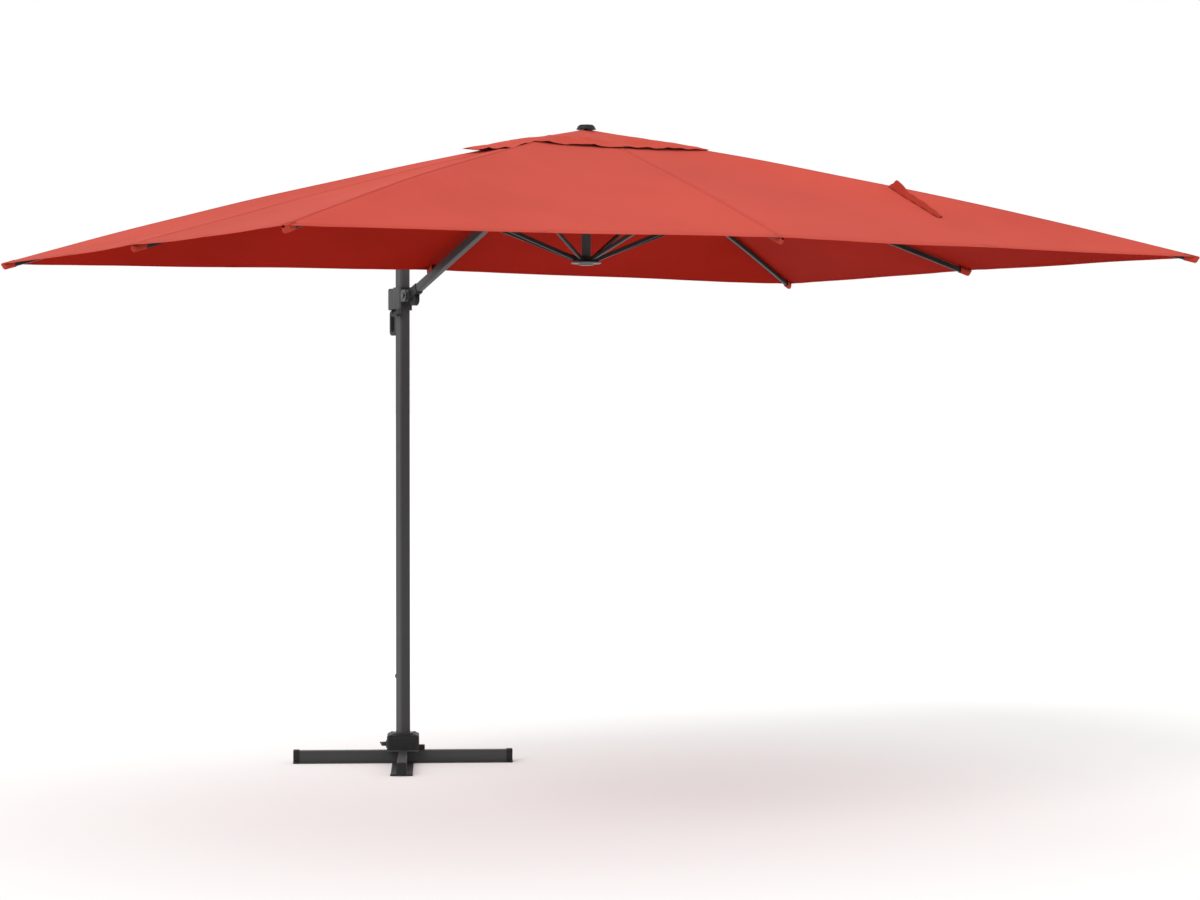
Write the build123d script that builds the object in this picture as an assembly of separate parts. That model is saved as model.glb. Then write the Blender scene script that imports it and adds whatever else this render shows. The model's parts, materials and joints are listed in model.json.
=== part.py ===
from build123d import *

import os
from math import asin, atan2, cos, degrees, hypot, pi, radians, sin, sqrt

# Cantilever parasol in millimetres.
# Frame: origin on the ground under the mast axis, +X from the mast to the
# canopy centre, +Y along the canopy's long side, +Z up. Canopy open, arm raised.
os.makedirs("parts", exist_ok=True)

# Canopy
CANOPY_LONG = 3920        # along Y, corner to corner
CANOPY_SHORT = 2892       # along X, corner to corner
LONG_TIP_INSET = 18       # hem inset at the middle of each long side
SHORT_TIP_INSET = 20      # hem inset at the middle of each short side
HUB_X = 1690              # canopy centre from the mast axis
PEAK_Z = 2744             # where the rib lines meet
CORNER_Z = 2221
LONG_MID_Z = 2240         # hem height at the middle of a long side
SHORT_MID_Z = 2226        # hem height at the middle of a short side
CORNER_BOW = 28           # how far a corner rib line bows above a straight one
PANEL_BOW = 0.5           # bow of the cloth between two ribs, as a share of theirs
FABRIC = 1.2
CROWN_OPENING = 0.13      # share of the panel left open under the vent cap
VENT_SHARE = 0.21         # vent cap size as a share of the canopy
VENT_CORE = 0.2           # share of the vent cap that stays on the crown
VENT_LIFT = 12
VENT_PEAK_LIFT = 5

# Folding frame
HUB_PIVOT_R = 50          # pivots lie on this radius in both hubs
RIB_PIVOT_Z = 2714
ARM_PIVOT_Z = 2702
RUNNER_PIVOT_Z = 2224
CLOSED_DROP = 1580        # rib pivots to runner pivots, canopy folded
RIB_W, RIB_H, RIB_WALL = 14, 20, 1.5
RIB_BRACKET = 22          # strut pivot below a rib's centre line
ARM_BRACKET = 33          # strut pivot below the arm's centre line
RIB_COLLAR = 23           # start of the collar on a rib's tube, from its pivot
RIB_TUBE_START = 26
RIB_TIP_CAP = 26          # length of the plastic cap on a rib's tip
RIB_TIP_INSET, RIB_TIP_DROP = 14, 12.5    # rib tip from the hem's tip
STRUT_W, STRUT_H, STRUT_WALL = 12, 16, 1.2
FOLDED_SPLAY = 3.5        # angle between a folded pivot line and the axis
HUB_R = 60
PIN_PLAY = 0.1

# Arm
TILT_X, TILT_Z = 80, 2130
ARM_W, ARM_H, ARM_WALL = 28, 38, 2.0
KNUCKLE_LEN = 92
ARM_SOCKET = 34           # where the arm's tube starts in the knuckle
ARM_HEAD = 40             # length of the solid end at the crown

# Mast and slider
MAST_X, MAST_Y, MAST_R, MAST_WALL = 66, 48, 12, 2.5
MAST_FOOT_Z = 136.5
MAST_TOP_Z = 2262
SLIDER_Z0, SLIDER_Z1 = 2065, 2170
KNOB_Z = 390

# Base
BASE_TURN = 63.1          # ground cross against the canopy
CROSS_REACH = 500
BAR_W, BAR_H = 40, 56
FLANGE_W, FLANGE_T = 97, 4
CAP_LEN = 27
HOUSING = 146
HOUSING_Z0, HOUSING_Z1 = 62, 130
ANCHOR_X, ANCHOR_Y = 440, 34


def save(name, *solids):
    shape = solids[0] if len(solids) == 1 else Compound(children=list(solids))
    export_step(shape, f"parts/{name}.step")


def block(x0, x1, y0, y1, z0, z1):
    size = (x1 - x0, y1 - y0, z1 - z0)
    return Pos((x0 + x1) / 2, (y0 + y1) / 2, (z0 + z1) / 2) * Box(*size)


def rod(radius, length, axis="Z"):
    turn = {"X": Rot(0, 90, 0), "Y": Rot(90, 0, 0), "Z": Rot(0, 0, 0)}[axis]
    return turn * Cylinder(radius, length)


def bar_x(x0, x1, width, height, corner):
    """A rounded bar along X, width in Y and height in Z."""
    section = Plane.YZ.offset(x0) * RectangleRounded(width, height, corner)
    return extrude(section, x1 - x0)


def tube_x(x0, x1, width, height, wall, corner):
    inner = max(corner - wall, 0.5)
    return bar_x(x0, x1, width, height, corner) - bar_x(
        x0 - 1, x1 + 1, width - 2 * wall, height - 2 * wall, inner
    )


def bowed_tube_x(x0, x1, bow, width, height, wall, corner):
    """A tube with cut corners from x0 to x1 whose middle stands bow higher."""
    half, middle = (x1 - x0) / 2, (x0 + x1) / 2
    radius = (half**2 + bow**2) / (2 * bow)
    turn = degrees(asin(half / radius))
    section = chamfer(Rectangle(width, height).vertices(), corner)
    section -= Rectangle(width - 2 * wall, height - 2 * wall)
    top = Plane(origin=(middle, 0, bow), x_dir=(0, 1, 0), z_dir=(1, 0, 0)) * section
    centre = Axis((middle, 0, bow - radius), (0, 1, 0))
    return revolve(top.rotate(centre, -turn), centre, 2 * turn)


def post(z0, z1, x, y, corner):
    """A rounded upright bar on the mast axis."""
    return extrude(Plane.XY.offset(z0) * RectangleRounded(x, y, corner), z1 - z0)


def place(origin, along, side):
    """Puts a piece drawn along +X at origin, with +X along and +Y on side."""
    up = Vector(*along).cross(Vector(*side))
    return Location(Plane(origin=origin, x_dir=along, z_dir=up))


# ---------------------------------------------------------------- linkage
def radial(turn):
    return cos(radians(turn)), sin(radians(turn))


def strut_seat(drop_closed, drop_open, slope, bracket):
    """How far along a rib its strut sits, so that one strut length suits both ends.

    The drops are from rib pivot to runner pivot, and slope is the open rib's angle
    below level. The seat hangs bracket below the rib, which turns its line a little.
    """
    seat = drop_closed / 2
    for _ in range(40):
        opened = pi / 2 - slope - atan2(bracket, seat)
        folded = radians(FOLDED_SPLAY)
        reach = (drop_closed**2 - drop_open**2) / (
            2 * (drop_closed * cos(folded) - drop_open * cos(opened))
        )
        seat = sqrt(reach**2 - bracket**2)
    return seat


HALF_X = CANOPY_SHORT / 2
HALF_Y = CANOPY_LONG / 2


def rib_bow(reach):
    return CORNER_BOW * (reach / hypot(HALF_X, HALF_Y)) ** 2


LONG_TIP = HALF_X - LONG_TIP_INSET
SHORT_TIP = HALF_Y - SHORT_TIP_INSET
TIPS = [
    ("1", LONG_TIP, 0, LONG_MID_Z),
    ("2", HALF_X, HALF_Y, CORNER_Z),
    ("3", 0, SHORT_TIP, SHORT_MID_Z),
    ("4", -HALF_X, HALF_Y, CORNER_Z),
    ("arm", -LONG_TIP, 0, LONG_MID_Z),
    ("5", -HALF_X, -HALF_Y, CORNER_Z),
    ("6", 0, -SHORT_TIP, SHORT_MID_Z),
    ("7", HALF_X, -HALF_Y, CORNER_Z),
]
DROP_OPEN = RIB_PIVOT_Z - RUNNER_PIVOT_Z


# ------------------------------------------------------------------- base
base_turn = Rot(0, 0, BASE_TURN)


def profile_bar(x0, x1):
    flange = block(x0, x1, -FLANGE_W / 2, FLANGE_W / 2, 0, FLANGE_T)
    ridge = Pos(0, 0, BAR_H / 2) * bar_x(x0, x1, BAR_W, BAR_H, 4)
    hollow = block(x0 - 1, x1 + 1, -18, 18, FLANGE_T, BAR_H - 3)
    return flange + ridge - hollow


def anchor_hole(sign):
    return Pos(sign * ANCHOR_X, sign * ANCHOR_Y, FLANGE_T / 2) * rod(5.5, 30)


bar_end = CROSS_REACH - CAP_LEN
long_bar = profile_bar(-bar_end, bar_end) - anchor_hole(1) - anchor_hole(-1)
save("cross_bar_long", base_turn * long_bar)

stub_start = BAR_W / 2 + 0.5
stub = Pos(0, 0, BAR_H / 2) * bar_x(stub_start, FLANGE_W / 2 + 1, BAR_W, BAR_H, 4)
stub -= block(0, 100, -18, 18, FLANGE_T, BAR_H - 3)
stub -= block(0, 100, -60, 60, -1, FLANGE_T + 0.5)
half_bar = profile_bar(FLANGE_W / 2 + 1, bar_end) + stub - anchor_hole(1)
save("cross_bar_left", base_turn * Rot(0, 0, 90) * half_bar)
save("cross_bar_right", base_turn * Rot(0, 0, -90) * half_bar)

cap_foot = block(bar_end, CROSS_REACH, -50, 50, 0, 8)
cap_foot = fillet(cap_foot.edges().filter_by(Axis.Z).group_by(Axis.X)[-1], 10)
cap_ridge = Pos(0, 0, 29.5) * bar_x(bar_end, CROSS_REACH, 45, 59, 6)
cap_plug = block(bar_end - 30, bar_end + 1, -17.7, 17.7, FLANGE_T + 0.3, BAR_H - 3.3)
end_cap = cap_foot + cap_ridge
end_cap = fillet(end_cap.edges().group_by(Axis.X)[-1], 2) + cap_plug
for i in range(4):
    save(f"end_cap_{i + 1}", base_turn * Rot(0, 0, 90 * i) * end_cap)

BOLT_GRID = [(sx * 50, sy * 50) for sx in (-1, 1) for sy in (-1, 1)]
plate = post(BAR_H, HOUSING_Z0, HOUSING, HOUSING, 12)
shell = post(HOUSING_Z0, HOUSING_Z1, HOUSING, HOUSING, 14)
shell = fillet(shell.edges().group_by(Axis.Z)[-1], 12)
shell -= Pos(0, 0, 66 + 40) * rod(30.1, 80)
bolts = []
for x, y in BOLT_GRID:
    plate -= Pos(x, y, 59) * rod(4.2, 20)
    shell -= Pos(x, y, 96) * rod(4.2, 90)
    head = Pos(x, y, HOUSING_Z1 + 2.5) * extrude(
        RegularPolygon(7, 6), 2.5, both=True
    )
    bolts.append(base_turn * (head + Pos(x, y, 93.5) * rod(4, 73)))
save("centre_plate", base_turn * plate)
save("housing", base_turn * shell)
save("base_bolts", *bolts)

PEDAL_X, PEDAL_Z = -(HOUSING / 2 + 20), 84
bracket = block(-HOUSING / 2 - 5, -HOUSING / 2, -17, 17, 68, 100)
for side in (-1, 1):
    ear = block(PEDAL_X, -HOUSING / 2, -2, 2, PEDAL_Z - 8, PEDAL_Z + 8)
    ear += Pos(PEDAL_X, 0, PEDAL_Z) * rod(8, 4, "Y")
    bracket += Pos(0, side * 14, 0) * ear
bracket += Pos(PEDAL_X, 0, PEDAL_Z) * rod(3, 32, "Y")
save("pedal_bracket", base_turn * bracket)

paddle = extrude(Ellipse(22, 17), 3, both=True)
paddle = fillet(paddle.edges(), 2)
for i in range(5):
    paddle += Pos(7 * (i - 2), 0, 3.5) * Box(3, 20, 2)
paddle = Pos(-30, 0, 0) * paddle
pedal = rod(8, 22, "Y") + paddle + block(-14, 0, -9, 9, -3, 3)
pedal -= rod(3 + PIN_PLAY, 40, "Y")
pedal_place = Pos(PEDAL_X, 0, PEDAL_Z) * Rot(0, 32, 0)
save("pedal", base_turn * pedal_place * pedal)

tab = block(HOUSING / 2, HOUSING / 2 + 26, -16, 16, 57, 79)
tab = fillet(tab.edges().group_by(Axis.X)[-1], 3)
tab -= Pos(HOUSING / 2 + 14, 0, 70) * rod(6, 60)
save("side_tab", base_turn * tab)

# ------------------------------------------------------------------- mast
foot = Pos(0, 0, 98.9) * rod(30, 64)
foot += Pos(0, 0, MAST_FOOT_Z - 3) * rod(52, 6)
foot += post(MAST_FOOT_Z, 196, 60.6, 42.6, 9)
save("mast_foot", foot)

mast = post(MAST_FOOT_Z, MAST_TOP_Z, MAST_X, MAST_Y, MAST_R)
inner_x, inner_y = MAST_X - 2 * MAST_WALL, MAST_Y - 2 * MAST_WALL
mast -= post(MAST_FOOT_Z - 1, MAST_TOP_Z + 1, inner_x, inner_y, MAST_R - MAST_WALL)
mast -= Pos(-MAST_X / 2, 0, KNOB_Z) * rod(4 + PIN_PLAY, 12, "X")
save("mast_tube", mast)

mast_cap = post(MAST_TOP_Z, MAST_TOP_Z + 6, MAST_X + 2, MAST_Y + 2, MAST_R + 1)
mast_cap = fillet(mast_cap.edges().group_by(Axis.Z)[-1], 2)
mast_cap += post(MAST_TOP_Z - 24, MAST_TOP_Z, inner_x - 0.4, inner_y - 0.4, 9)
save("mast_cap", mast_cap)

knob = chamfer(Cylinder(15, 16).edges().group_by(Axis.Z)[-1], 2)
for i in range(8):
    knob -= Rot(0, 0, 45 * i) * Pos(17, 0, 0) * Cylinder(4, 20)
knob = Pos(0, 0, 8) * knob
knob += Pos(0, 0, -3) * Cylinder(9, 6)
knob += Pos(0, 0, -8) * Cylinder(4, 10)
knob_place = Pos(-MAST_X / 2 - 7, 0, KNOB_Z) * Rot(0, -90, 0)
save("clamp_knob", knob_place * knob)

# ----------------------------------------------------------------- slider
sleeve = post(SLIDER_Z0, SLIDER_Z1, 84, 66, 16)
tilt_eye = Pos(TILT_X, 0, TILT_Z) * rod(27, 58, "Y")
cheeks = block(30, TILT_X, -29, 29, TILT_Z - 27, TILT_Z + 27)
back = block(-110, -30, -20, 20, SLIDER_Z0 + 3, SLIDER_Z1 - 3)
back = fillet(back.edges().filter_by(Axis.Y).group_by(Axis.X)[0], 10)
sleeve += cheeks + tilt_eye + back
sleeve -= post(SLIDER_Z0 - 1, SLIDER_Z1 + 1, 71, 53, 13)
sleeve -= block(44, 120, -17.5, 17.5, TILT_Z - 60, TILT_Z + 60)
sleeve -= Pos(TILT_X, 0, TILT_Z) * rod(6 + PIN_PLAY, 80, "Y")
for z in (2087, 2150):
    sleeve -= Pos(-100, 0, z) * rod(5 + PIN_PLAY, 30, "X")
for x0 in (-22, 41):
    sleeve += block(x0, x0 + 5, -46, -28, 2046, SLIDER_Z0 + 6)
sleeve += Pos(12, -38, 2055) * rod(2.5, 62, "X")
save("slider_sleeve", sleeve)

bushes = []
for z0 in (SLIDER_Z0 + 1, SLIDER_Z1 - 31):
    ring = post(z0, z0 + 30, 71, 53, 13) - post(z0 - 1, z0 + 31, 67, 49, 12.5)
    bushes.append(ring)
save("slide_bushes", *bushes)

grip = Plane.XZ * Pos(-79, 2010) * RectangleRounded(66, 116, 20)
grip -= Plane.XZ * Pos(-79, 2008) * RectangleRounded(34, 78, 14)
grip = extrude(grip, 13, both=True)
grip = fillet(grip.edges(), 3)
save("slide_handle", grip)

teeth = 24
ring_points = []
for i in range(teeth):
    for share, r in ((0.0, 24.5), (0.28, 28), (0.5, 28), (0.78, 24.5)):
        turn = 2 * pi * (i + share) / teeth
        ring_points.append((r * cos(turn), r * sin(turn)))
tooth_ring = extrude(make_face(Polyline(*ring_points, close=True)), 3.5, both=True)
tooth_ring -= Cylinder(6 + PIN_PLAY, 20)
for i in range(6):
    tooth_ring -= Rot(0, 0, 60 * i) * Pos(15, 0, 0) * Cylinder(3, 20)
ring_place = Pos(TILT_X, -32.6, TILT_Z) * Rot(90, 0, 0)
save("tilt_ring", ring_place * tooth_ring)

cover = Pos(TILT_X, 32.1, TILT_Z) * rod(25, 6, "Y")
cover = fillet(cover.edges().group_by(Axis.Y)[-1], 3)
cover -= Pos(TILT_X, 32.1, TILT_Z) * rod(6 + PIN_PLAY, 20, "Y")
save("ring_cover", cover)

tilt_pin = Pos(TILT_X, 0, TILT_Z) * rod(6, 76, "Y")
for side in (-1, 1):
    tilt_pin += Pos(TILT_X, side * 39.5, TILT_Z) * rod(10, 5, "Y")
save("tilt_pin", tilt_pin)

handle_bolts = []
for z in (2087, 2150):
    bolt = Pos(-99, 0, z) * rod(5, 24, "X") + Pos(-113.5, 0, z) * rod(9, 7, "X")
    bolt -= Pos(-117, 0, z) * Rot(0, 90, 0) * extrude(RegularPolygon(4, 6), 3, both=True)
    handle_bolts.append(bolt)
save("handle_bolts", *handle_bolts)

lever = block(-15, 39, -44, -30, 2042, 2056)
lever += Pos(12, -38, 2055) * rod(6, 54, "X")
lever += Pos(12, -44, 2043) * rod(6, 54, "X")
lever -= Pos(12, -38, 2055) * rod(2.5 + PIN_PLAY, 80, "X")
save("lock_lever", lever)

# -------------------------------------------------------------------- arm
arm_foot = (TILT_X, 0, TILT_Z)
arm_head = (HUB_X - HUB_PIVOT_R, 0, ARM_PIVOT_Z)
arm_run, arm_rise = arm_head[0] - TILT_X, ARM_PIVOT_Z - TILT_Z
arm_len = hypot(arm_run, arm_rise)
arm_slope = atan2(arm_rise, arm_run)
from_mast = place(arm_foot, (arm_run, 0, arm_rise), (0, 1, 0))

knuckle = rod(23, 34, "Y") + bar_x(0, KNUCKLE_LEN, 34, 46, 6)
knuckle += Pos(ARM_SOCKET, 0, -30) * rod(30, 22, "Y") + block(4, 64, -11, 11, -30, -10)
knuckle -= bar_x(ARM_SOCKET, KNUCKLE_LEN + 1, ARM_W + 0.2, ARM_H + 0.2, 4)
knuckle -= rod(6 + PIN_PLAY, 60, "Y")
save("arm_knuckle", from_mast * knuckle)

head_start = arm_len - ARM_HEAD
arm_tube = tube_x(ARM_SOCKET, head_start, ARM_W, ARM_H, ARM_WALL, 4)
save("arm_tube", from_mast * arm_tube)

plug_w, plug_h = ARM_W - 2 * ARM_WALL - 0.2, ARM_H - 2 * ARM_WALL - 0.2
crown_end = bar_x(head_start - 52, head_start, plug_w, plug_h, 2)
crown_end += bar_x(head_start, head_start + 8, ARM_W, ARM_H, 4)
crown_end += block(head_start + 7, arm_len, -8, 8, -11, 11)
crown_end += Pos(arm_len, 0, 0) * rod(11, 16, "Y")
crown_end += Pos(arm_len, 0, 0) * rod(4, 32, "Y")
save("arm_crown_end", from_mast * crown_end)


def strut_ears(height, depth):
    """Two ears of that height and a pin, which carry a strut under a rib, at local x = 0."""
    ears = rod(3, 19.2, "Y")
    for side in (-1, 1):
        ear = rod(8, 3, "Y") + block(-8, 8, -1.5, 1.5, 0, height)
        ears += Pos(0, side * 8.1, 0) * ear
    return Pos(0, 0, -depth) * ears


def strut_piece(length):
    """A strut along +X from its rib pivot to its runner pivot."""
    body = tube_x(12, length - 12, STRUT_W, STRUT_H, STRUT_WALL, 3)
    for x in (0, length):
        body += Pos(x, 0, 0) * rod(8, STRUT_W, "Y")
    body += block(0, 16, -6, 6, -7, 7) + block(length - 16, length, -6, 6, -7, 7)
    body -= rod(3 + PIN_PLAY, 30, "Y")
    return body + Pos(length, 0, 0) * rod(3, 22, "Y")


# ----------------------------------------------------- ribs, struts, canopy
def lerp(a, b, share):
    return tuple(p + (q - p) * share for p, q in zip(a, b))


def slab(points, thick):
    """A flat sheet through the points, thick downwards."""
    outline = make_face(Polyline(*points, close=True))
    return extrude(outline, amount=thick, dir=(0, 0, -1))


def bowed_point(centre, rim_point, bow, share):
    x, y, z = lerp(centre, rim_point, share)
    return x, y, z + 4 * bow * share * (1 - share)


def bowed_line(centre, rim_point, bow, inner, outer):
    shares = (inner, (inner + outer) / 2, outer)
    return ThreePointArc(*[bowed_point(centre, rim_point, bow, s) for s in shares])


def main_field(i):
    """The bowed sheet over rib i, from the middle of one panel to the next."""
    sheet = None
    for k in (-1, 1):
        other = (i + k) % 8
        middle = lerp(tip_points[i], tip_points[other], 0.5)
        middle_bow = PANEL_BOW * (bows[i] + bows[other]) / 2
        on_rib_line = bowed_line(peak, tip_points[i], bows[i], CROWN_OPENING, 1)
        between = bowed_line(peak, middle, middle_bow, CROWN_OPENING, 1)
        face = Face.make_surface_from_curves(on_rib_line, between)
        half = extrude(face, amount=FABRIC, dir=(0, 0, -1))
        sheet = half if sheet is None else sheet + half
    return sheet


def vent_field(i):
    """The flat-sided sheet of the vent cap over rib i."""
    sheet = None
    for k in (-1, 1):
        middle = lerp(vent_rim[i], vent_rim[(i + k) % 8], 0.5)
        corners = [lerp(vent_peak, vent_rim[i], VENT_CORE), vent_rim[i]]
        corners += [middle, lerp(vent_peak, middle, VENT_CORE)]
        half = slab(corners, FABRIC)
        sheet = half if sheet is None else sheet + half
    return sheet


peak = (HUB_X, 0, PEAK_Z)
vent_peak = (HUB_X, 0, PEAK_Z + VENT_PEAK_LIFT)
tip_points = [(HUB_X + x, y, z) for _, x, y, z in TIPS]
bows = [rib_bow(hypot(x, y)) for _, x, y, _ in TIPS]
vent_rim = [bowed_point(peak, tip, bow, VENT_SHARE) for tip, bow in zip(tip_points, bows)]
vent_rim = [(x, y, z + VENT_LIFT) for x, y, z in vent_rim]
for i, (name, x, y, z) in enumerate(TIPS):
    turn = degrees(atan2(y, x))
    ex, ey = radial(turn)
    side = (-ey, ex, 0)
    reach = hypot(x, y)
    runner_seat = (HUB_X + HUB_PIVOT_R * ex, HUB_PIVOT_R * ey, RUNNER_PIVOT_Z)

    if name == "arm":
        start = arm_head
        slope = arm_slope
        depth, drop = ARM_BRACKET, ARM_PIVOT_Z - RUNNER_PIVOT_Z
        closed = CLOSED_DROP - (RIB_PIVOT_Z - ARM_PIVOT_Z)
    else:
        start = (HUB_X + HUB_PIVOT_R * ex, HUB_PIVOT_R * ey, RIB_PIVOT_Z)
        end_r, end_z = reach - RIB_TIP_INSET, z - RIB_TIP_DROP
        slope = atan2(RIB_PIVOT_Z - end_z, end_r - HUB_PIVOT_R)
        depth, drop = RIB_BRACKET, DROP_OPEN
        closed = CLOSED_DROP
    seat = strut_seat(closed, drop, slope, depth)

    along = (cos(slope) * ex, cos(slope) * ey, -sin(slope))
    on_rib = place(start, along, side)
    if name == "arm":
        saddle = bar_x(seat - 35, seat + 35, ARM_W, 3, 1)
        saddle = Pos(0, 0, -ARM_H / 2 - 1.5) * saddle
        ears = Pos(seat, 0, 0) * strut_ears(depth - ARM_H / 2 - 1, depth)
        save("arm_strut_bracket", on_rib * (saddle + ears))
    else:
        rib_len = hypot(end_r - HUB_PIVOT_R, RIB_PIVOT_Z - end_z)
        tube_end = rib_len - RIB_TIP_CAP + 10
        bow = bows[i] * ((tube_end - RIB_TUBE_START) / reach) ** 2
        share = (seat - RIB_TUBE_START) / (tube_end - RIB_TUBE_START)
        lift = 4 * bow * share * (1 - share)
        rib = bowed_tube_x(RIB_TUBE_START, tube_end, bow, RIB_W, RIB_H, RIB_WALL, 2)
        rib += bar_x(RIB_COLLAR, RIB_COLLAR + 8, RIB_W + 2, RIB_H + 1.5, 3)
        rib += block(0, RIB_TUBE_START + 1, -4, 4, -7, 7)
        rib += rod(8, 8, "Y") + rod(4, 22, "Y")
        rib += bar_x(rib_len - RIB_TIP_CAP, rib_len, RIB_W + 2, RIB_H + 1, 4)
        rib += Pos(seat, 0, 0) * strut_ears(depth - 4 + lift, depth)
        save(f"rib_{name}", on_rib * rib)

    pivot = on_rib * Pos(seat, 0, -depth)
    head = pivot.position
    down = Vector(*runner_seat) - head
    on_strut = place(head, down.normalized(), side)
    save(f"strut_{name}", on_strut * strut_piece(down.length))

    save(f"canopy_{name}", main_field(i), vent_field(i))

# ------------------------------------------------------------------ crown
HUB_TOP = RIB_PIVOT_Z + 12
TUBE_TOP = RIB_PIVOT_Z - 15
STEM_TOP = RIB_PIVOT_Z + 43
CAP_Z = RIB_PIVOT_Z + 34

crown_hub = Pos(HUB_X, 0, HUB_TOP - 13.5) * rod(HUB_R, 27)
crown_hub += block(HUB_X - 62, HUB_X - 30, -16, 16, TUBE_TOP - 13, HUB_TOP - 14)
crown_hub += Pos(HUB_X, 0, STEM_TOP - 17) * rod(10, 34)
for name, x, y, z in TIPS:
    on_arm = name == "arm"
    hub_place = Pos(HUB_X, 0, 0) * Rot(0, 0, degrees(atan2(y, x)))
    inside, half = (36, 8.4) if on_arm else (40, 4.4)
    pin_z, pin_length = (ARM_PIVOT_Z, 33) if on_arm else (RIB_PIVOT_Z, 23)
    crown_hub -= hub_place * block(inside, 80, -half, half, TUBE_TOP - 40, HUB_TOP + 1)
    pin = Pos(HUB_PIVOT_R, 0, pin_z) * rod(4 + PIN_PLAY, pin_length, "Y")
    crown_hub -= hub_place * pin
save("crown_hub", crown_hub)

tube_foot = RUNNER_PIVOT_Z + 14
crown_tube = Cylinder(20, TUBE_TOP - tube_foot) - Cylinder(18, 600)
save("crown_tube", Pos(HUB_X, 0, (TUBE_TOP + tube_foot) / 2) * crown_tube)

cap_plane = Plane.XY.offset(CAP_Z)
top_cap = loft([cap_plane * Circle(40), cap_plane.offset(14) * Circle(33)])
top_cap += Pos(0, 0, CAP_Z + 15) * Cylinder(29, 6)
top_cap = fillet(top_cap.edges().group_by(Axis.Z)[-1], 2)
top_cap -= Pos(0, 0, CAP_Z + 3) * Cylinder(10.1, 13)
save("top_cap", Pos(HUB_X, 0, 0) * top_cap)

vent = None
for i in range(8):
    rim = [lerp(vent_peak, vent_rim[i - k], VENT_CORE) for k in (1, 0)]
    panel = slab([vent_peak, *rim], FABRIC)
    vent = panel if vent is None else vent + panel
vent -= Pos(HUB_X, 0, PEAK_Z) * Cylinder(12, 60)
save("vent_cap", vent)

# ----------------------------------------------------------------- runner
# Only strut 3 turns in lugs. The other struts end free above the disc.
LUG_TURN = 90
runner = Pos(0, 0, -12) * Cylinder(HUB_R, 2) + Pos(0, 0, 1) * Cylinder(20, 24)
runner += Pos(0, 0, 22) * Cylinder(17.8, 20)
runner -= block(-40, -11, -20, 20, -11, 13)
lugs = block(15, 50, -10, 10, -11, 5) + Pos(50, 0, 0) * rod(8, 20, "Y")
lugs -= block(19, 70, -6.6, 6.6, -11, 20)
lugs -= Pos(50, 0, 0) * rod(3 + PIN_PLAY, 40, "Y")
runner += Rot(0, 0, LUG_TURN) * lugs
save("runner_hub", Pos(HUB_X, 0, RUNNER_PIVOT_Z) * runner)

dome_plane = Plane.XY.offset(RUNNER_PIVOT_Z - 13)
dome = extrude(dome_plane * Circle(61), -6)
dome = fillet(dome.edges().group_by(Axis.Z)[0], 5)
dome += Pos(0, 0, RUNNER_PIVOT_Z - 21) * Cylinder(30, 8)
dome = fillet(dome.edges().group_by(Axis.Z)[0], 3)
save("runner_cover", Pos(HUB_X, 0, 0) * dome)

# ------------------------------------------------------------------ strap
STRAP_Y, STRAP_W = 980, 36
STRAP_X0, STRAP_X1 = 2440, 2756
STRAP_LIFT = 5
STRAP_RIB, STRAP_EDGE = 1, 0     # the corner rib it is sewn to, and the next rib


def cloth_height(x, y):
    """Height of the bowed sheet between the strap's rib and the middle of its panel."""
    tip, edge = tip_points[STRAP_RIB], tip_points[STRAP_EDGE]
    middle = lerp(tip, edge, 0.5)
    tip_x, middle_x = tip[0] - HUB_X, middle[0] - HUB_X
    area = tip_x * middle[1] - middle_x * tip[1]
    on_tip = ((x - HUB_X) * middle[1] - middle_x * y) / area
    on_middle = (tip_x * y - (x - HUB_X) * tip[1]) / area
    share = on_tip + on_middle
    middle_bow = PANEL_BOW * (bows[STRAP_RIB] + bows[STRAP_EDGE]) / 2
    bow = (on_tip * bows[STRAP_RIB] + on_middle * middle_bow) / share
    flat = PEAK_Z + on_tip * (tip[2] - PEAK_Z) + on_middle * (middle[2] - PEAK_Z)
    return flat + 4 * bow * share * (1 - share)


mid_x = (STRAP_X0 + STRAP_X1) / 2
cross_rise = cloth_height(mid_x, STRAP_Y + 1) - cloth_height(mid_x, STRAP_Y)
outline = []
for x, sides in ((STRAP_X0, (-1, 1)), (STRAP_X1, (1, -1))):
    for side in sides:
        across = side * STRAP_W / 2
        height = cloth_height(x, STRAP_Y) + across * cross_rise + STRAP_LIFT
        outline.append((x, STRAP_Y + across, height))
save("strap", slab(outline, 2.0))
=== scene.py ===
import json
import math

import bmesh
import bpy
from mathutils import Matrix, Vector, noise


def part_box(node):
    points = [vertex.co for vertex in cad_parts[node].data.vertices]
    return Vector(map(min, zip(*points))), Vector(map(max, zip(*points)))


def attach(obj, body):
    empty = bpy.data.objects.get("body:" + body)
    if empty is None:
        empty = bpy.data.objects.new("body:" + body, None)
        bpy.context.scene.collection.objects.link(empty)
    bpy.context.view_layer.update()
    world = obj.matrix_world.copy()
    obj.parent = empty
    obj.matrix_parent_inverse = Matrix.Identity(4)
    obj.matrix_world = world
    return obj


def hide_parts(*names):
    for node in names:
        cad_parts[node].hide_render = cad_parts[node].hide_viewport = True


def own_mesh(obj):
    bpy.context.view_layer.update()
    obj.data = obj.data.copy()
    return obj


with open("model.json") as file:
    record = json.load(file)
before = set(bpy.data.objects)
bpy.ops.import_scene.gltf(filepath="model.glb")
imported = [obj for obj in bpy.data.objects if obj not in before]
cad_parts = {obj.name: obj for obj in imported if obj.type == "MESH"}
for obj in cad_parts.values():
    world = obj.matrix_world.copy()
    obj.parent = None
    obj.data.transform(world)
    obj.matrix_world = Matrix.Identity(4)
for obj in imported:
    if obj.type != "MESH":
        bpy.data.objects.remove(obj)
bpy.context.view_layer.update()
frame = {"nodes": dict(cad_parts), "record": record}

nodes = frame["nodes"]

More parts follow.
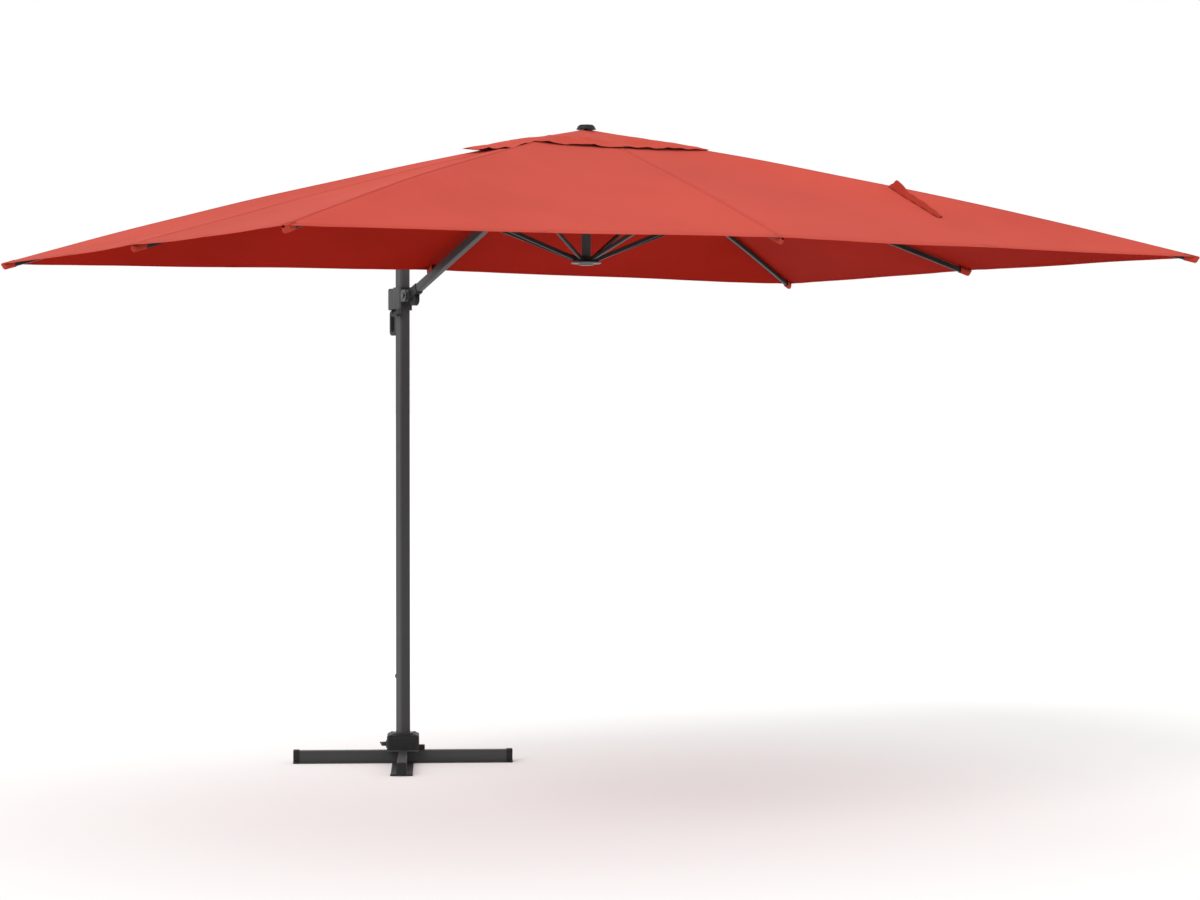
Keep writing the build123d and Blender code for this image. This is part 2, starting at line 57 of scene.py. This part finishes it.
# ------------------------------------------------------------- the canopy's lines
RIM = ["1", "2", "3", "4", "arm", "5", "6", "7"]     # ribs in order round the crown
CLOTH = 0.0012             # thickness of the cloth
SEAM_HALF = 0.011
HEM = 0.03
BAND = 0.0009              # how far seam tapes and hems stand off the cloth
ON_BAND = 0.0001           # how far stitches stand off a band
PANEL_SAG = 0.012          # how far the cloth sags between two ribs
HEM_CURVE = 0.012          # how far the hem curves in between two tips
HEM_RISE = 0.006
UNDULATION = 0.0035        # long soft waves of the cloth
FAN_WRINKLE = 0.0011       # small tension wrinkles that fan from the tips
CROWN_OPEN = 0.13          # share of the canopy that the vent cap covers
VENT_SHARE = 0.205
VENT_CORE = 0.2            # share of the vent cap that stays on the crown
CORNER_BOW = 0.028         # how far a corner rib's line bows up
PANEL_BOW = 0.5            # bow of the cloth between two ribs, as a share of theirs
STEPS = 44                 # rows from crown to hem
VENT_STEPS = 30
HALF_STEPS = 14            # columns from a rib to the middle of its panel
LONG_SIDE_RIBS = ("1", "arm")
SHORT_SIDE_RIBS = ("3", "6")
CAP_SEAT = 0.004           # the top cap starts this far above the cloth's peak
NEAR_TIP = 0.001

crown_low, crown_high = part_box("top_cap")
HUB = (crown_low + crown_high) / 2
PEAK = Vector((HUB.x, 0.0, crown_low.z - CAP_SEAT))    # where the rib lines meet


def tip_of(name):
    """Where the hem meets a rib: the farthest point of that rib's cloth on the rib's line."""
    points = [v.co for v in nodes["canopy_" + name].data.vertices]
    if name in LONG_SIDE_RIBS:
        points = [p for p in points if abs(p.y) < NEAR_TIP]
    if name in SHORT_SIDE_RIBS:
        points = [p for p in points if abs(p.x - HUB.x) < NEAR_TIP]
    reach = max(math.hypot(p.x - HUB.x, p.y) for p in points)
    rim = [p for p in points if math.hypot(p.x - HUB.x, p.y) > reach - NEAR_TIP]
    return max(rim, key=lambda p: p.z).copy()


TIPS = [tip_of(name) for name in RIM]
REACH = [math.hypot(t.x - PEAK.x, t.y) for t in TIPS]
BOWS = [CORNER_BOW * (r / max(REACH)) ** 2 for r in REACH]


def bowed(a, b, bow, share):
    """A point on a line from a to b whose middle stands bow higher."""
    point = a.lerp(b, share)
    point.z += 4 * bow * share * (1 - share)
    return point


def smooth(t):
    """Eases from 0 to 1 as t goes from 0 to 1."""
    t = max(0.0, min(1.0, t))
    return t * t * (3 - 2 * t)


def ripple(x, y, scale, seed):
    """Smooth noise from about -1 to 1. A larger scale gives shorter waves."""
    return noise.noise(Vector((x * scale, y * scale, seed)))


def cloth_point(panel, across, share):
    """A point of the one continuous sheet. across runs 0..1 from rib panel to the next."""
    i, j = panel % 8, (panel + 1) % 8
    a = bowed(PEAK, TIPS[i], BOWS[i], share)
    b = bowed(PEAK, TIPS[j], BOWS[j], share)
    middle = 4 * across * (1 - across)
    point = a.lerp(b, across)
    mean_bow = (BOWS[i] + BOWS[j]) / 2
    lift = 4 * mean_bow * share * (1 - share)
    point.z -= middle * lift * (1 - PANEL_BOW)
    point.z -= PANEL_SAG * middle * smooth(share * 1.3) * (1 - 0.35 * smooth(share * 4 - 3))
    rim_pull = smooth((share - 0.55) / 0.45) ** 2
    inward = (PEAK - point)
    inward.z = 0
    point += inward.normalized() * HEM_CURVE * middle * rim_pull
    point.z += HEM_RISE * middle * rim_pull
    point.z += UNDULATION * ripple(point.x, point.y, 2.1, 3.0) * smooth(share * 3)
    to_rib = min(across, 1 - across)
    fan = math.sin(70 * to_rib / (0.25 + share)) * math.exp(-to_rib * 9)
    point.z += FAN_WRINKLE * fan * smooth((share - 0.45) / 0.4)
    return point


# ------------------------------------------------------------- mesh helpers
def new_object(name, data):
    obj = bpy.data.objects.new(name, data)
    bpy.context.scene.collection.objects.link(obj)
    return obj


def lifted(point, height):
    return point + Vector((0, 0, height))


def mesh_from(name, verts, faces):
    mesh = bpy.data.meshes.new(name)
    mesh.from_pydata([tuple(v) for v in verts], [], faces)
    mesh.validate()
    mesh.polygons.foreach_set("use_smooth", [True] * len(mesh.polygons))
    mesh.update()
    return mesh


def grid_sheet(name, rows, thick, inner=None):
    """A thin closed sheet on a grid of top points, with the underside in slot 1."""
    count, width = len(rows), len(rows[0])
    verts = [p for row in rows for p in row]
    if inner is None:
        inner = [[lifted(p, -thick) for p in row] for row in rows]
    verts += [p for row in inner for p in row]
    under = count * width
    faces, slots = [], []
    for r in range(count - 1):
        for c in range(width - 1):
            a, b = r * width + c, r * width + c + 1
            d, e = a + width, b + width
            faces.append((a, d, e, b))
            slots.append(0)
            faces.append((under + a, under + b, under + e, under + d))
            slots.append(1)
    for c in range(width - 1):
        for a, b in ((c + 1, c), ((count - 1) * width + c, (count - 1) * width + c + 1)):
            faces.append((a, b, under + b, under + a))
            slots.append(0)
    for r in range(count - 1):
        for a, b in ((r * width, (r + 1) * width), ((r + 2) * width - 1, (r + 1) * width - 1)):
            faces.append((a, b, under + b, under + a))
            slots.append(0)
    mesh = mesh_from(name, verts, faces)
    mesh.polygons.foreach_set("material_index", slots)
    obj = new_object(name, mesh)
    bm = bmesh.new()
    bm.from_mesh(mesh)
    bmesh.ops.recalc_face_normals(bm, faces=bm.faces)
    bm.to_mesh(mesh)
    bm.free()
    return obj


# ------------------------------------------------------------- materials
def shader(name, base, roughness, metallic=0.0, specular=0.5):
    mat = bpy.data.materials.new(name)
    mat.use_nodes = True
    tree = mat.node_tree
    out = tree.nodes["Principled BSDF"]
    out.inputs["Base Color"].default_value = (*base, 1)
    out.inputs["Roughness"].default_value = roughness
    out.inputs["Metallic"].default_value = metallic
    out.inputs["Specular IOR Level"].default_value = specular
    return mat, tree, out


def link(tree, a, output, b, socket):
    tree.links.new(a.outputs[output], b.inputs[socket])


def texture(tree, kind, scale, **settings):
    node = tree.nodes.new(kind)
    coords = tree.nodes.new("ShaderNodeTexCoord")
    link(tree, coords, "Object", node, "Vector")
    node.inputs["Scale"].default_value = scale
    for key, value in settings.items():
        node.inputs[key].default_value = value
    return node


def ramp(tree, source, output, stops):
    node = tree.nodes.new("ShaderNodeValToRGB")
    link(tree, source, output, node, "Fac")
    while len(node.color_ramp.elements) < len(stops):
        node.color_ramp.elements.new(0.5)
    for element, (place, colour) in zip(node.color_ramp.elements, stops):
        element.position = place
        element.color = (*colour, 1)
    return node


def bump(tree, out, source, output, strength, distance, previous=None):
    node = tree.nodes.new("ShaderNodeBump")
    node.inputs["Strength"].default_value = strength
    node.inputs["Distance"].default_value = distance
    link(tree, source, output, node, "Height")
    if previous is not None:
        link(tree, previous, "Normal", node, "Normal")
    link(tree, node, "Normal", out, "Normal")
    return node


def fabric(name, dark, light, weave=900.0, sheen=0.04):
    """Woven polyester: a plain weave, slow tone changes and a little sheen."""
    mat, tree, out = shader(name, light, 0.85, specular=0.03)
    out.inputs["Sheen Weight"].default_value = sheen
    out.inputs["Sheen Roughness"].default_value = 0.5
    cloud = texture(tree, "ShaderNodeTexNoise", 1.6, Detail=4.0)
    thread = texture(tree, "ShaderNodeTexNoise", 260.0, Detail=2.0)
    mix = tree.nodes.new("ShaderNodeMix")
    mix.data_type = "FLOAT"
    mix.inputs["Factor"].default_value = 0.3
    tree.links.new(cloud.outputs["Fac"], mix.inputs[2])
    tree.links.new(thread.outputs["Fac"], mix.inputs[3])
    tone = tree.nodes.new("ShaderNodeValToRGB")
    tree.links.new(mix.outputs[0], tone.inputs["Fac"])
    for element, (place, colour) in zip(tone.color_ramp.elements, ((0.3, dark), (0.7, light))):
        element.position = place
        element.color = (*colour, 1)
    link(tree, tone, "Color", out, "Base Color")
    warp = texture(tree, "ShaderNodeTexWave", weave / 6.28, Distortion=0.6)
    warp.bands_direction = "X"
    weft = texture(tree, "ShaderNodeTexWave", weave / 6.28, Distortion=0.6)
    weft.bands_direction = "Y"
    cross = tree.nodes.new("ShaderNodeMath")
    cross.operation = "MULTIPLY"
    tree.links.new(warp.outputs["Fac"], cross.inputs[0])
    tree.links.new(weft.outputs["Fac"], cross.inputs[1])
    fine = bump(tree, out, cross, "Value", 0.35, 0.0004)
    bump(tree, out, cloud, "Fac", 0.12, 0.004, fine)
    return mat


def powder_coat(name, base, light, metallic=0.05, roughness=0.45):
    """Anthracite coat: fine orange peel, and a little paler where it wears."""
    mat, tree, out = shader(name, base, roughness, metallic, specular=0.28)
    tone_noise = texture(tree, "ShaderNodeTexNoise", 22.0, Detail=6.0, Roughness=0.7)
    tone = ramp(tree, tone_noise, "Fac", ((0.32, base), (0.72, light)))
    geometry = tree.nodes.new("ShaderNodeNewGeometry")
    edge = ramp(tree, geometry, "Pointiness", ((0.53, (0, 0, 0)), (0.6, (1, 1, 1))))
    wear = tree.nodes.new("ShaderNodeMix")
    wear.data_type = "RGBA"
    wear.inputs[7].default_value = (*[min(1.0, c * 2.4) for c in light], 1)
    tree.links.new(edge.outputs["Color"], wear.inputs[0])
    tree.links.new(tone.outputs["Color"], wear.inputs[6])
    tree.links.new(wear.outputs[2], out.inputs["Base Color"])
    rough = tree.nodes.new("ShaderNodeMapRange")
    link(tree, tone_noise, "Fac", rough, "Value")
    rough.inputs["To Min"].default_value = roughness - 0.08
    rough.inputs["To Max"].default_value = roughness + 0.1
    link(tree, rough, "Result", out, "Roughness")
    peel = texture(tree, "ShaderNodeTexNoise", 900.0, Detail=2.0)
    bump(tree, out, peel, "Fac", 0.12, 0.0003)
    return mat


def moulded(name, base, roughness, grain=1400.0):
    """Moulded plastic with a fine spark grain."""
    mat, tree, out = shader(name, base, roughness, specular=0.3)
    tone_noise = texture(tree, "ShaderNodeTexNoise", 35.0, Detail=5.0)
    light = tuple(min(1.0, c * 1.35 + 0.004) for c in base)
    tone = ramp(tree, tone_noise, "Fac", ((0.35, base), (0.75, light)))
    link(tree, tone, "Color", out, "Base Color")
    rough = tree.nodes.new("ShaderNodeMapRange")
    link(tree, tone_noise, "Fac", rough, "Value")
    rough.inputs["To Min"].default_value = roughness - 0.07
    rough.inputs["To Max"].default_value = roughness + 0.1
    link(tree, rough, "Result", out, "Roughness")
    spark = texture(tree, "ShaderNodeTexVoronoi", grain)
    bump(tree, out, spark, "Distance", 0.2, 0.0003)
    return mat


def zinc(name):
    """Galvanised steel with a faint spangle."""
    mat, tree, out = shader(name, (0.1, 0.1, 0.1), 0.4, 0.9)
    spangle = texture(tree, "ShaderNodeTexVoronoi", 160.0)
    tone = ramp(tree, spangle, "Distance", ((0.0, (0.07, 0.07, 0.072)), (1.0, (0.16, 0.16, 0.165))))
    link(tree, tone, "Color", out, "Base Color")
    scratch = texture(tree, "ShaderNodeTexNoise", 300.0, Detail=4.0)
    bump(tree, out, scratch, "Fac", 0.2, 0.0004)
    return mat


TOP = fabric("canopy_top", (0.48, 0.058, 0.038), (0.565, 0.074, 0.049))
# The underside is the same cloth as the top; its darker, deeper red is painted shade and painted light
# shining through the cloth.
UNDERSIDE_PAINTED_SHADE = fabric("canopy_underside_painted_shade", (0.25, 0.0068, 0.0020), (0.33, 0.0100, 0.0032), sheen=0.0)
SEAM = fabric("seam_tape", (0.46, 0.055, 0.036), (0.54, 0.069, 0.046), weave=1500.0)
POCKET = fabric("tip_pocket", (0.37, 0.036, 0.022), (0.45, 0.048, 0.030), weave=1500.0)
# The strap's darker red is painted shade on the side of the strap that stands out of the light.
STRAP_PAINTED_SHADE = fabric("strap_webbing_painted_shade", (0.30, 0.027, 0.015), (0.38, 0.038, 0.022), weave=700.0)
THREAD = moulded("thread", (0.37, 0.044, 0.028), 0.7)
MATERIAL_OF_SLOT = {
    "dark_frame": powder_coat("frame_coat", (0.009, 0.0094, 0.0098), (0.019, 0.0196, 0.0202)),
    "ground_steel": powder_coat("ground_coat", (0.012, 0.0122, 0.0125), (0.021, 0.0213, 0.0217), 0.05),
    "black_plastic": moulded("black_plastic", (0.006, 0.006, 0.0064), 0.5),
    "grey_plastic": moulded("grey_plastic", (0.10, 0.10, 0.10), 0.4),
    "zinc_steel": zinc("zinc_steel"),
}
for row in frame["record"]["subparts"]:
    material = MATERIAL_OF_SLOT.get(row["material_slot"])
    if material is not None:
        node = nodes[row["node"]]
        node.data.materials.clear()
        node.data.materials.append(material)


# ------------------------------------------------------------- canopy pieces
def body_of_rib(name):
    return "arm" if name == "arm" else "rib_" + name


def gather(piece):
    """Gives the piece its own copy of its mesh."""
    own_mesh(piece)


def column_places(i, half):
    """(panel, across) between rib i and the middle of the panel before or after it."""
    if half == "after":
        return [(i, 0.5 * c / HALF_STEPS) for c in range(HALF_STEPS + 1)]
    before = [((i - 1) % 8, 0.5 + 0.5 * c / HALF_STEPS) for c in range(HALF_STEPS)]
    return before + [(i, 0.0)]


def surface_normal(panel, across, share, point_of):
    """The upward normal of a surface, from two short steps along it."""
    step = 0.002
    back = share + step > 1
    p = point_of(panel, across, share)
    along = point_of(panel, across, share - step if back else share + step) - p
    if across < 0.5:
        side = point_of(panel, across + step, share) - p
    else:
        side = p - point_of(panel, across - step, share)
    normal = along.cross(side).normalized()
    return normal if normal.z > 0 else -normal


def continuous_normals(obj, places, shares, point_of):
    """Both pieces at a cut get the same normals, so the sheet reads as one."""
    top = []
    for share in shares:
        for panel, across in places:
            normal = surface_normal(panel, across, share, point_of)
            if across == 0.0:
                normal = normal + surface_normal((panel - 1) % 8, 1.0, share, point_of)
            top.append(normal.normalized())
    normals = top + [-n for n in top]
    per_loop = []
    for polygon in obj.data.polygons:
        on_edge = abs(polygon.normal.z) < 0.2
        for loop in polygon.loop_indices:
            vertex = obj.data.loops[loop].vertex_index
            per_loop.append(tuple(polygon.normal if on_edge else normals[vertex]))
    obj.data.normals_split_custom_set(per_loop)


def dress(obj, body, *materials):
    """Gives a fabric piece its materials and its body."""
    for material in materials:
        obj.data.materials.append(material)
    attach(obj, body)


def steps_between(first, last, count):
    return [first + (last - first) * r / count for r in range(count + 1)]


def surface_rows(point_of, shares, places):
    return [[point_of(panel, across, share) for panel, across in places] for share in shares]


def canopy_piece(i, half, pieces):
    """The cloth on one side of rib i; the pieces argument is not used."""
    places = column_places(i, half)
    shares = steps_between(CROWN_OPEN, 1.0, STEPS)
    rows = surface_rows(cloth_point, shares, places)
    obj = grid_sheet(f"canopy_cloth_{RIM[i]}_{half}", rows, CLOTH)
    continuous_normals(obj, places, shares, cloth_point)
    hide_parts("canopy_" + RIM[i])
    dress(obj, body_of_rib(RIM[i]), TOP, UNDERSIDE_PAINTED_SHADE)
    gather(obj)


# ------------------------------------------------------------- seams, hems, pockets
def beside_rib(i, offset, share):
    """A point of the cloth at a distance to one side of rib i."""
    j = (i + 1) % 8 if offset >= 0 else (i - 1) % 8
    span = (TIPS[i] - TIPS[j]).length * share
    across = abs(offset) / span
    if offset >= 0:
        return cloth_point(i, across, share)
    return cloth_point(j, 1 - across, share)


# A stitch is a short pointed hexagon with a ridge: along, across and up from its centre.
STITCH_RIM = ((-1, 0, 0), (-0.5, 1, 0), (0.5, 1, 0), (1, 0, 0), (0.5, -1, 0), (-0.5, -1, 0))
STITCH_RIDGE = ((-0.5, 0, 1), (0.5, 0, 1))
STITCH_ENDS = ((0, 1, 6), (2, 3, 7), (3, 4, 7), (5, 0, 6))
STITCH_SIDES = ((1, 2, 7, 6), (4, 5, 6, 7), (5, 4, 3, 2, 1, 0))
STITCH_LENGTH, STITCH_WIDTH, STITCH_HEIGHT = 0.0052, 0.0011, 0.0008


def add_stitch(bm, centre, forward, side, up):
    corners = []
    for u, v, w in STITCH_RIM + STITCH_RIDGE:
        place = centre + forward * (u * STITCH_LENGTH / 2) + side * (v * STITCH_WIDTH / 2)
        corners.append(bm.verts.new(place + up * (w * STITCH_HEIGHT)))
    for face in STITCH_ENDS + STITCH_SIDES:
        made = bm.faces.new([corners[c] for c in face])
        made.material_index = 2


def add_stitches(obj, lines, pitch=0.009):
    """Lock stitches along lines of points, in the band's third material slot."""
    bm = bmesh.new()
    bm.from_mesh(obj.data)
    for line in lines:
        for a, b in zip(line, line[1:]):
            count = max(1, round((b - a).length / pitch))
            forward = (b - a).normalized()
            side = Vector((-forward.y, forward.x, 0)).normalized()
            up = forward.cross(side)
            if up.z < 0:
                up = -up
            for k in range(count):
                add_stitch(bm, a.lerp(b, (k + 0.5) / count), forward, side, up)
    bmesh.ops.recalc_face_normals(bm, faces=bm.faces)
    bm.to_mesh(obj.data)
    bm.free()


def seam(i):
    """The flat-felled seam over a rib, with two rows of stitches."""
    offsets = [SEAM_HALF * k for k in (-1, -0.5, 0, 0.5, 1)]
    heights = [BAND * k for k in (0.15, 1, 1.1, 1, 0.15)]
    rows = []
    for share in steps_between(CROWN_OPEN + 0.002, 0.985, STEPS):
        rows.append([lifted(beside_rib(i, d, share), h) for d, h in zip(offsets, heights)])
    obj = grid_sheet(f"canopy_seam_{RIM[i]}", rows, BAND)
    add_stitches(obj, [[lifted(row[k], ON_BAND) for row in rows] for k in (1, 3)])
    dress(obj, body_of_rib(RIM[i]), SEAM, UNDERSIDE_PAINTED_SHADE, THREAD)
    return obj


HEM_PROFILE = ((HEM, 0.2), (HEM * 0.8, 1), (HEM * 0.4, 1.1), (0.002, 1), (-0.0015, 0.1))


def hem(i, half):
    """The folded hem between a rib and the middle of the panel beside it."""
    places = column_places(i, half)
    top, under = [], []
    for inset, height in HEM_PROFILE:
        row = [cloth_point(panel, across, 1 - inset / REACH[i]) for panel, across in places]
        top.append([lifted(p, BAND * height) for p in row])
        under.append([lifted(p, -CLOTH - BAND * height) for p in row])
    obj = grid_sheet(f"canopy_hem_{RIM[i]}_{half}", top, BAND, under)
    add_stitches(obj, [[lifted(p, ON_BAND) for p in top[1]]])
    dress(obj, body_of_rib(RIM[i]), SEAM, UNDERSIDE_PAINTED_SHADE, THREAD)
    gather(obj)
    return obj


POCKET_LEN = 0.062
POCKET_HALF = 0.0125
POCKET_DEEP = 0.029
POCKET_PAST_TIP = 0.004
POCKET_CREASE = 0.0012
POCKET_WALL = 0.09         # share of the way from the outside to the middle
POCKET_ROWS = (0.0, 0.2, 0.4, 0.6, 0.75, 0.87, 0.95, 1.0)
POCKET_COLUMNS = 10


def pocket_section(t, crease):
    """Half width, depth and how far a pocket is drawn shut, from its mouth 0 to its end 1."""
    close = smooth((t - 0.7) / 0.3)
    half = POCKET_HALF * (1 - 0.5 * close) + crease
    deep = POCKET_DEEP * (1 - 0.72 * close ** 2)
    section = []
    for k in range(POCKET_COLUMNS + 1):
        turn = math.pi * k / POCKET_COLUMNS
        sideways = half * math.copysign(abs(math.cos(turn)) ** 0.45, math.cos(turn))
        section.append((sideways, -CLOTH * 0.6 - deep * abs(math.sin(turn)) ** 0.6))
    return section


def pocket(i):
    """The sewn pocket that holds a rib's tip: a sleeve with its outer end drawn shut."""
    outward = Vector((TIPS[i].x - PEAK.x, TIPS[i].y, 0)).normalized()
    side = Vector((-outward.y, outward.x, 0))
    slope = (cloth_point(i, 0, 1.0).z - cloth_point(i, 0, 0.97).z) / (0.03 * REACH[i])
    rows = []
    for t in POCKET_ROWS:
        run = (t - 1) * POCKET_LEN + POCKET_PAST_TIP
        middle = TIPS[i] + outward * run + Vector((0, 0, slope * run))
        section = pocket_section(t, POCKET_CREASE * math.sin(t * 19 + i))
        rows.append([middle + side * across + Vector((0, 0, drop)) for across, drop in section])
    inner = []
    for row in rows:
        centre = sum(row, Vector()) / len(row)
        inner.append([p.lerp(centre, POCKET_WALL) for p in row])
    obj = grid_sheet(f"canopy_pocket_{RIM[i]}", rows, BAND, inner)
    dress(obj, body_of_rib(RIM[i]), POCKET, UNDERSIDE_PAINTED_SHADE)
    return obj


for i in range(8):
    canopy_piece(i, "before", [hem(i, "before"), seam(i), pocket(i)])
    canopy_piece(i, "after", [hem(i, "after")])

# ------------------------------------------------------------- the loose vent cap
VENT_PEAK = lifted(PEAK, 0.005)
VENT_CORNER_LIFT = 0.004
VENT_GAPE = 0.013          # how far the open corner stands up
OPEN_CORNER = RIM.index("5")
VENT_RIM = []
for i in range(8):
    gape = VENT_GAPE if i == OPEN_CORNER else 0.0
    rim_point = bowed(PEAK, TIPS[i], BOWS[i], VENT_SHARE)
    VENT_RIM.append(lifted(rim_point, VENT_CORNER_LIFT + gape))


def vent_point(panel, across, share):
    """The vent cap is cut loose, so it puffs up and creases between its corners."""
    i, j = panel % 8, (panel + 1) % 8
    point = VENT_PEAK.lerp(VENT_RIM[i], share).lerp(VENT_PEAK.lerp(VENT_RIM[j], share), across)
    middle = 4 * across * (1 - across)
    loose = smooth((share - 0.2) / 0.5)
    x, y = point.x, point.y
    broad = ripple(x, y, 6.0, 11.0)
    crease = 1 - 2.4 * abs(ripple(x, y, 9.0, 5.0))
    fine = 1 - 2.0 * abs(ripple(x, y, 21.0, 2.0))
    room = 0.45 + 0.55 * middle
    point.z += loose * room * (0.004 + 0.007 * broad + 0.007 * crease + 0.003 * fine)
    edge = smooth((share - 0.72) / 0.28)
    point.z -= 0.010 * middle * edge
    pull = 0.022 * middle + 0.010 * ripple(x, y, 14.0, 8.0)
    point += (VENT_PEAK - point).normalized() * pull * edge
    return point


def vent_piece(i, half):
    """The vent cap on one side of rib i, outside the part that stays on the crown."""
    places = column_places(i, half)
    shares = steps_between(VENT_CORE, 1.0, VENT_STEPS)
    rows = surface_rows(vent_point, shares, places)
    obj = grid_sheet(f"vent_cloth_{RIM[i]}_{half}", rows, CLOTH)
    continuous_normals(obj, places, shares, vent_point)
    dress(obj, body_of_rib(RIM[i]), TOP, UNDERSIDE_PAINTED_SHADE)
    gather(obj)


def vent_core():
    """The middle of the vent cap, round the top cap's stem."""
    stem_share, length = 0.035, 0.36
    ring = [(panel, c / 10) for panel in range(8) for c in range(10)] + [(7, 1.0)]
    rows = surface_rows(vent_point, steps_between(stem_share, VENT_CORE, 6), ring)
    obj = grid_sheet("vent_core", rows, CLOTH)
    dress(obj, "crown", TOP, UNDERSIDE_PAINTED_SHADE)
    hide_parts("vent_cap")


for i in range(8):
    vent_piece(i, "before")
    vent_piece(i, "after")
vent_core()

# ------------------------------------------------------------- closing strap
STRAP_RIB = RIM.index("2")
STRAP_HALF = 0.017
STRAP_ROWS = 46
STRAP_THICK = 0.0016
STRAP_OFF_CLOTH = 0.0035
STRAP_SEWN = 0.01          # how far it starts behind its CAD solid, at the ridge


def cloth_z(x, y):
    """Height of the cloth under a point in one of the two panels beside the strap's rib."""
    best, height = math.inf, 0.0
    for panel in (STRAP_RIB, (STRAP_RIB - 1) % 8):
        a, b = TIPS[panel] - PEAK, TIPS[(panel + 1) % 8] - PEAK
        px, py = x - PEAK.x, y - PEAK.y
        area = a.x * b.y - b.x * a.y
        on_a, on_b = (px * b.y - b.x * py) / area, (a.x * py - px * a.y) / area
        outside = max(0.0, -on_a) + max(0.0, -on_b)
        if outside < best:
            share = on_a + on_b
            across = min(1.0, max(0.0, on_b / share))
            best, height = outside, cloth_point(panel, across, share).z
    return height


def strap_profile(t):
    """How high the strap stands and its half width, from the ridge 0 to its free end 1."""
    stand = 0.010 + 0.022 * smooth(t / 0.12) * (1 - smooth((t - 0.12) / 0.25))
    stand += 0.009 * (1 - smooth((t - 0.6) / 0.35)) * smooth(t / 0.1)
    stand *= 1 - 0.55 * smooth((t - 0.9) / 0.1)
    half = STRAP_HALF * (0.75 + 0.25 * smooth(t * 3)) * (1 - 0.35 * smooth((t - 0.93) / 0.07))
    return stand, half


def strap():
    """Sewn at the ridge, it stands up in a fold and lies down along the panel."""
    low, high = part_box("strap")
    middle_y = (low.y + high.y) / 2
    rows = []
    for r in range(STRAP_ROWS + 1):
        t = r / STRAP_ROWS
        x = low.x - STRAP_SEWN + (high.x - low.x + STRAP_SEWN) * t
        y = middle_y + 0.01 * math.sin(2.4 * t) - 0.006 * t
        stand, half = strap_profile(t)
        row = []
        for k in range(9):
            c = k / 4 - 1
            px, py = x + 0.004 * math.sin(9 * t + c), y + half * c
            height = stand * (1 - abs(c) ** 1.25) + 0.0016 * math.sin(31 * t + 2 * c)
            row.append(Vector((px, py, cloth_z(px, py) + STRAP_OFF_CLOTH + height)))
        rows.append(row)
    obj = grid_sheet("closing_strap", rows, STRAP_THICK)
    add_stitches(obj, [[lifted(row[k], 2 * ON_BAND) for row in rows] for k in (1, 7)], 0.0075)
    dress(obj, "rib_2", STRAP_PAINTED_SHADE, STRAP_PAINTED_SHADE, THREAD)
    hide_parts("strap")
    gather(obj)


strap()

# ------------------------------------------------------------- stage, light, camera
FLOOR_HALF = 400
corners = [(-1, -1), (1, -1), (1, 1), (-1, 1)]
floor_verts = [(u * FLOOR_HALF, v * FLOOR_HALF, 0) for u, v in corners]
floor = new_object("floor", mesh_from("floor", floor_verts, [(0, 1, 2, 3)]))
floor_mat, floor_tree, floor_out = shader("floor", (0.93, 0.93, 0.925), 0.9, specular=0.0)
floor_grain = texture(floor_tree, "ShaderNodeTexNoise", 3.0, Detail=6.0)
bump(floor_tree, floor_out, floor_grain, "Fac", 0.05, 0.01)
floor.data.materials.append(floor_mat)

world = bpy.data.worlds.new("studio")
world.use_nodes = True
world.node_tree.nodes["Background"].inputs["Color"].default_value = (1, 1, 1, 1)
world.node_tree.nodes["Background"].inputs["Strength"].default_value = 1.0
bpy.context.scene.world = world

TO_KEY_LIGHT = Vector((0.35, -0.75, 0.6))
key = new_object("key", bpy.data.lights.new("key", "SUN"))
key.data.energy = 1.15
key.data.angle = math.radians(30)
key.rotation_euler = TO_KEY_LIGHT.to_track_quat("Z", "Y").to_euler()
bpy.context.scene.view_settings.view_transform = "Standard"

LOOKING_DOWN, LOOKING_ROUND = 0.922, 60      # degrees below level, and about the upright
camera = new_object("camera", bpy.data.cameras.new("camera"))
camera.data.sensor_width = 36
camera.data.lens = 84.84
camera.location = (11.64, -5.68, 1.636)
camera.rotation_euler = (math.radians(90 - LOOKING_DOWN), 0, math.radians(LOOKING_ROUND))
bpy.context.scene.camera = camera
